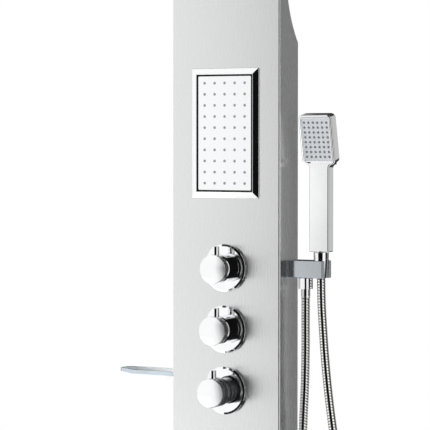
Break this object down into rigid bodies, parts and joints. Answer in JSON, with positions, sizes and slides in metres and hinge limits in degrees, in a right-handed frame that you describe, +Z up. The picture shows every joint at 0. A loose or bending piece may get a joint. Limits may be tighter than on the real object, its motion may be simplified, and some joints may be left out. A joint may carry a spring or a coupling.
{
  "type": "rainfall shower column",
  "caption": "Wall shower column of brushed steel with an overhead rain head, body spray, turning controls, hand shower on a looped hose and a glass shelf.",
  "frame": {"origin": "on the wall plane, at the middle of the upper wall bracket's back face", "axes": "+X to the right seen from the front, +Y into the wall, +Z up; the panel's front faces -Y"},
  "size_m": [0.4641, 0.495, 1.4922],
  "materials": {
    "brushed_stainless": "vertical brushed grain, satin",
    "chrome": "mirror polished plating",
    "satin_plate": "pale satin",
    "grey_silicone": "matt silicone",
    "white_plastic": "moulded",
    "valve_brass": "machined",
    "pipe_copper": "drawn copper pipe",
    "bracket_zinc": "zinc plated",
    "black_rubber": "matt",
    "hose_steel": "wound polished steel strip",
    "shelf_glass": "clear tempered, pale blue edge"
  },
  "bodies": {
    "column": {"arm_lock_nut": "valve_brass", "bottom_cap": "brushed_stainless", "cold_inlet": "valve_brass", "column_shell": "brushed_stainless", "handset_feed_pipe": "pipe_copper", "head_cover": "brushed_stainless", "head_shell": "brushed_stainless", "holder_arm": "chrome", "holder_fork": "chrome", "hose_ferrule": "chrome", "hose_nut": "chrome", "hose_washer": "black_rubber", "hot_inlet": "valve_brass", "lower_cartridge": "white_plastic", "lower_cartridge_nut": "valve_brass", "lower_flange": "chrome", "lower_sleeve": "chrome", "lower_wall_bracket": "bracket_zinc", "middle_cartridge": "white_plastic", "middle_cartridge_nut": "valve_brass", "middle_flange": "chrome", "middle_sleeve": "chrome", "neck_cover": "brushed_stainless", "outlet_nipple": "chrome", "rain_chamber": "white_plastic", "rain_feed_pipe": "pipe_copper", "rain_nozzle_mat": "grey_silicone", "rain_plate": "chrome", "shelf_glass": "shelf_glass", "shelf_screw_front": "bracket_zinc", "shelf_screw_rear": "bracket_zinc", "shelf_support_front": "chrome", "shelf_support_rear": "chrome", "shower_hose": "hose_steel", "spray_bezel": "chrome", "spray_chamber": "white_plastic", "spray_feed_pipe": "pipe_copper", "spray_nozzle_mat": "grey_silicone", "spray_plate": "satin_plate", "upper_cartridge": "white_plastic", "upper_cartridge_nut": "valve_brass", "upper_flange": "chrome", "upper_sleeve": "chrome", "upper_wall_bracket": "bracket_zinc", "valve_body": "valve_brass"},
    "upper_knob": {"upper_cap": "chrome", "upper_pin": "chrome", "upper_spindle": "valve_brass"},
    "middle_knob": {"middle_cap": "chrome", "middle_pin": "chrome", "middle_spindle": "valve_brass"},
    "lower_knob": {"lower_cap": "chrome", "lower_pin": "chrome", "lower_spindle": "valve_brass"},
    "hose_end": {"handset_hose_tail": "chrome"},
    "handset": {"cone_nut": "chrome", "handset_washer": "black_rubber", "handset_body": "chrome", "handset_face_frame": "chrome", "handset_nozzle_face": "grey_silicone"}
  },
  "joints": [
    {"name": "upper_turn", "type": "hinge", "parent": "column", "child": "upper_knob", "pos_m": [0, -0.065, -0.33], "axis": [0, -1, 0], "range_deg": [-90, 90]},
    {"name": "middle_turn", "type": "hinge", "parent": "column", "child": "middle_knob", "pos_m": [0, -0.065, -0.43], "axis": [0, -1, 0], "range_deg": [-90, 90]},
    {"name": "lower_turn", "type": "hinge", "parent": "column", "child": "lower_knob", "pos_m": [0, -0.065, -0.53], "axis": [0, -1, 0], "range_deg": [-90, 45]},
    {"name": "handset_lift", "type": "slide", "parent": "column", "child": "hose_end", "axis": [0, 0, 1], "range_m": [0, 0.06]},
    {"name": "handset_turn", "type": "hinge", "parent": "hose_end", "child": "handset", "pos_m": [0.153, -0.0225, -0.316], "axis": [0, 0, 1], "range_deg": [-90, 90]}
  ]
}
